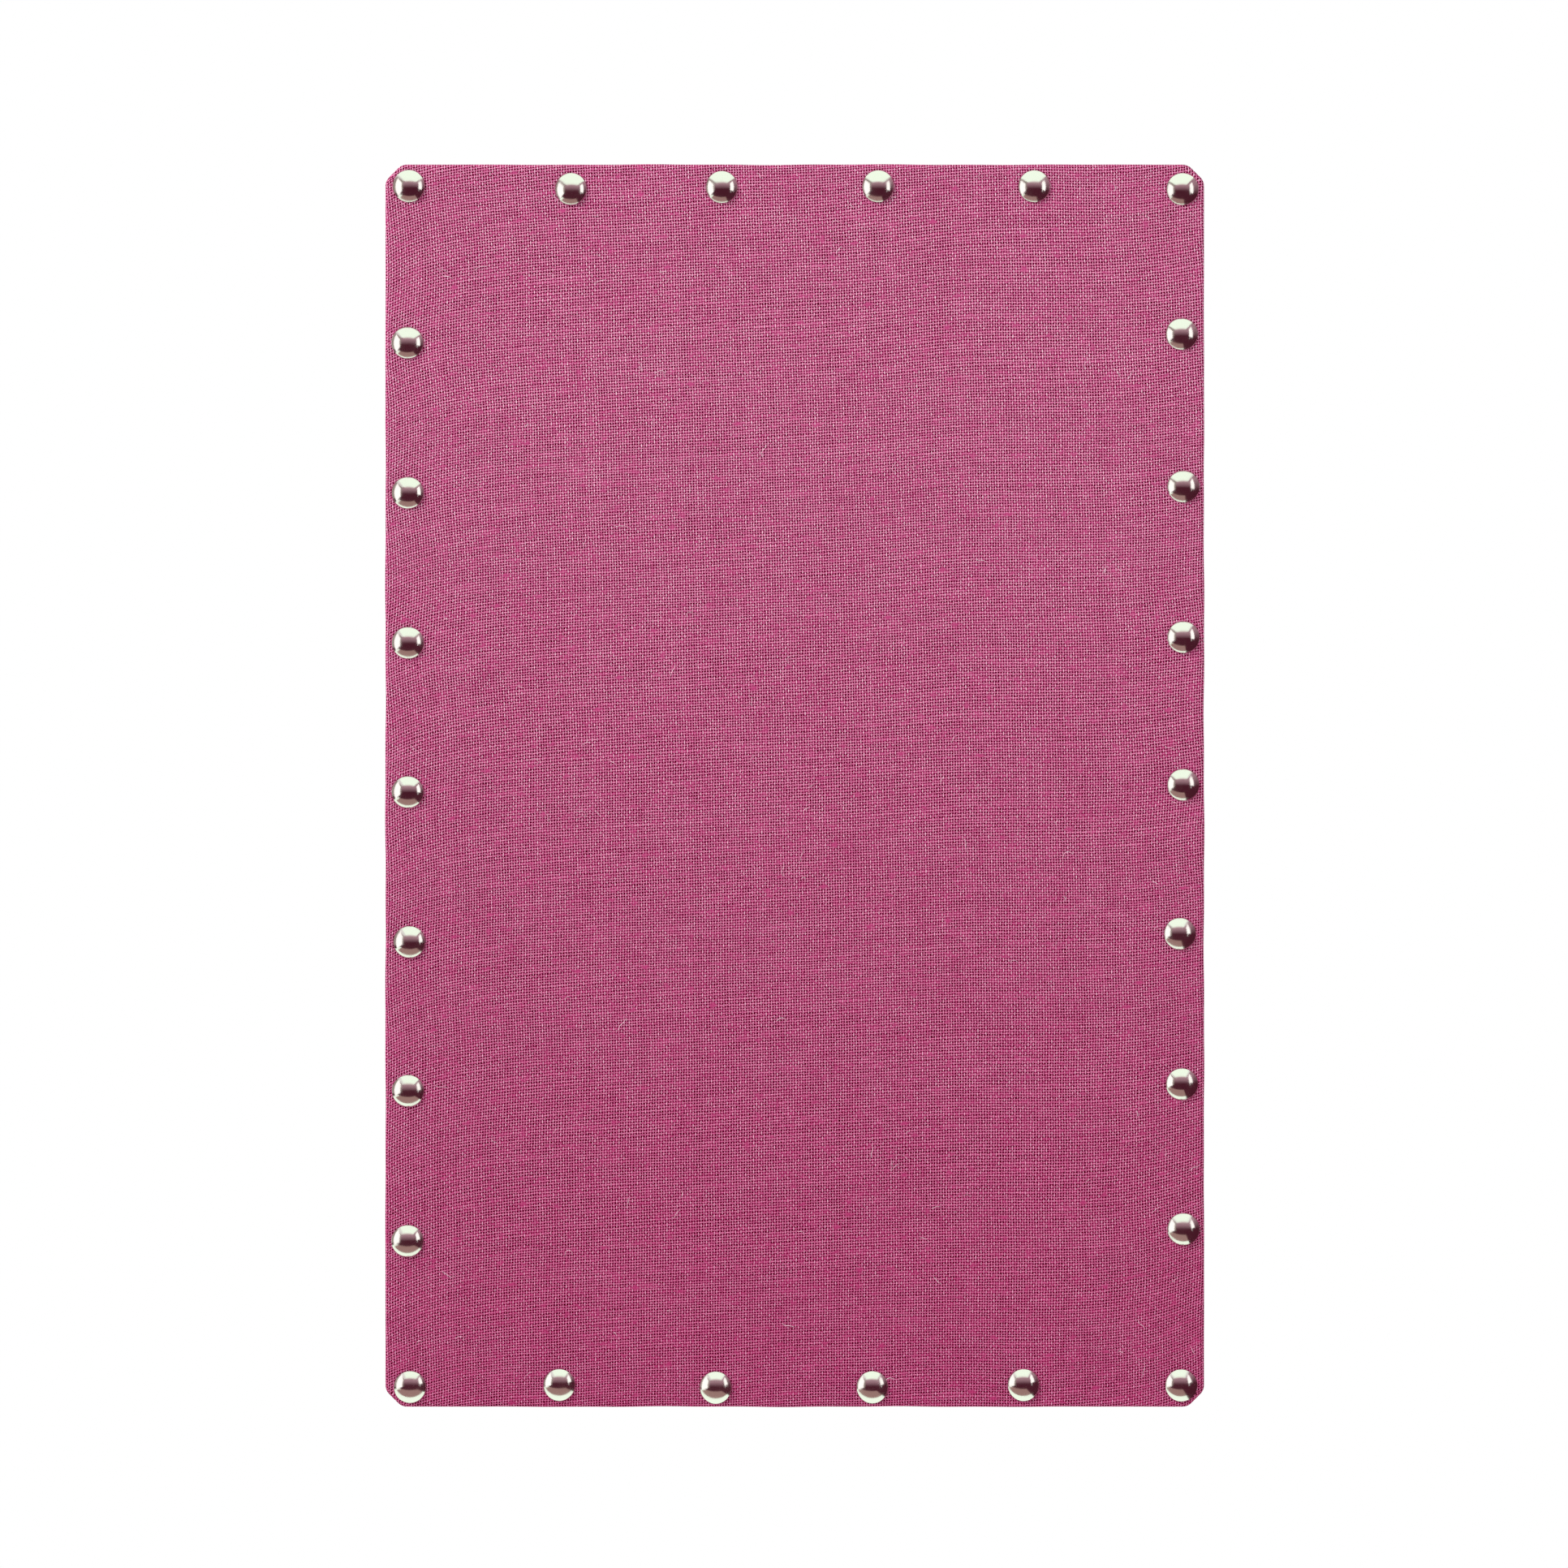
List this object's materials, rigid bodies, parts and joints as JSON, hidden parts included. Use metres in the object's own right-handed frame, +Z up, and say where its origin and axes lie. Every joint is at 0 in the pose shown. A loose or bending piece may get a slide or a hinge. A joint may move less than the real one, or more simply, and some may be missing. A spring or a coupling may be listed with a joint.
{
  "type": "cork board",
  "caption": "Upright cork pin board wrapped in woven burlap and edged with domed nailhead studs, with swinging D-ring hangers and wall bumpers on the back.",
  "frame": {"origin": "point on the wall behind the centre of the board", "axes": "+Z up the board, +X to the right seen from the front, +Y from the board into the wall, so the burlap front faces -Y"},
  "size_m": [0.402, 0.0283, 0.61],
  "materials": {
    "burlap": "matte",
    "cork": "matte",
    "fibreboard": "matte",
    "nickel": "polished",
    "staple_steel": "satin",
    "zinc_steel": "satin",
    "rubber": "matte"
  },
  "bodies": {
    "board": {"backing_panel": "fibreboard", "cork_sheet": "cork", "burlap_cover": "burlap", "stud_top_1": "nickel", "stud_top_2": "nickel", "stud_top_3": "nickel", "stud_top_4": "nickel", "stud_top_5": "nickel", "stud_top_6": "nickel", "stud_bottom_1": "nickel", "stud_bottom_2": "nickel", "stud_bottom_3": "nickel", "stud_bottom_4": "nickel", "stud_bottom_5": "nickel", "stud_bottom_6": "nickel", "stud_left_1": "nickel", "stud_left_2": "nickel", "stud_left_3": "nickel", "stud_left_4": "nickel", "stud_left_5": "nickel", "stud_left_6": "nickel", "stud_left_7": "nickel", "stud_right_1": "nickel", "stud_right_2": "nickel", "stud_right_3": "nickel", "stud_right_4": "nickel", "stud_right_5": "nickel", "stud_right_6": "nickel", "stud_right_7": "nickel", "staple_top_1": "staple_steel", "staple_top_2": "staple_steel", "staple_top_3": "staple_steel", "staple_top_4": "staple_steel", "staple_bottom_1": "staple_steel", "staple_bottom_2": "staple_steel", "staple_bottom_3": "staple_steel", "staple_bottom_4": "staple_steel", "staple_left_1": "staple_steel", "staple_left_2": "staple_steel", "staple_left_3": "staple_steel", "staple_left_4": "staple_steel", "staple_left_5": "staple_steel", "staple_left_6": "staple_steel", "staple_left_7": "staple_steel", "staple_right_1": "staple_steel", "staple_right_2": "staple_steel", "staple_right_3": "staple_steel", "staple_right_4": "staple_steel", "staple_right_5": "staple_steel", "staple_right_6": "staple_steel", "staple_right_7": "staple_steel", "hanger_strap_left": "zinc_steel", "hanger_strap_right": "zinc_steel", "hanger_screw_left": "zinc_steel", "hanger_screw_right": "zinc_steel", "bumper_left": "rubber", "bumper_right": "rubber"},
    "ring_left": {"hanger_ring_left": "zinc_steel"},
    "ring_right": {"hanger_ring_right": "zinc_steel"}
  },
  "joints": [
    {"name": "ring_left_swing", "type": "hinge", "parent": "board", "child": "ring_left", "pos_m": [-0.131, -0.00465, 0.23], "axis": [-1, 0, 0], "range_deg": [0, 179]},
    {"name": "ring_right_swing", "type": "hinge", "parent": "board", "child": "ring_right", "pos_m": [0.131, -0.00465, 0.23], "axis": [-1, 0, 0], "range_deg": [0, 179]}
  ]
}
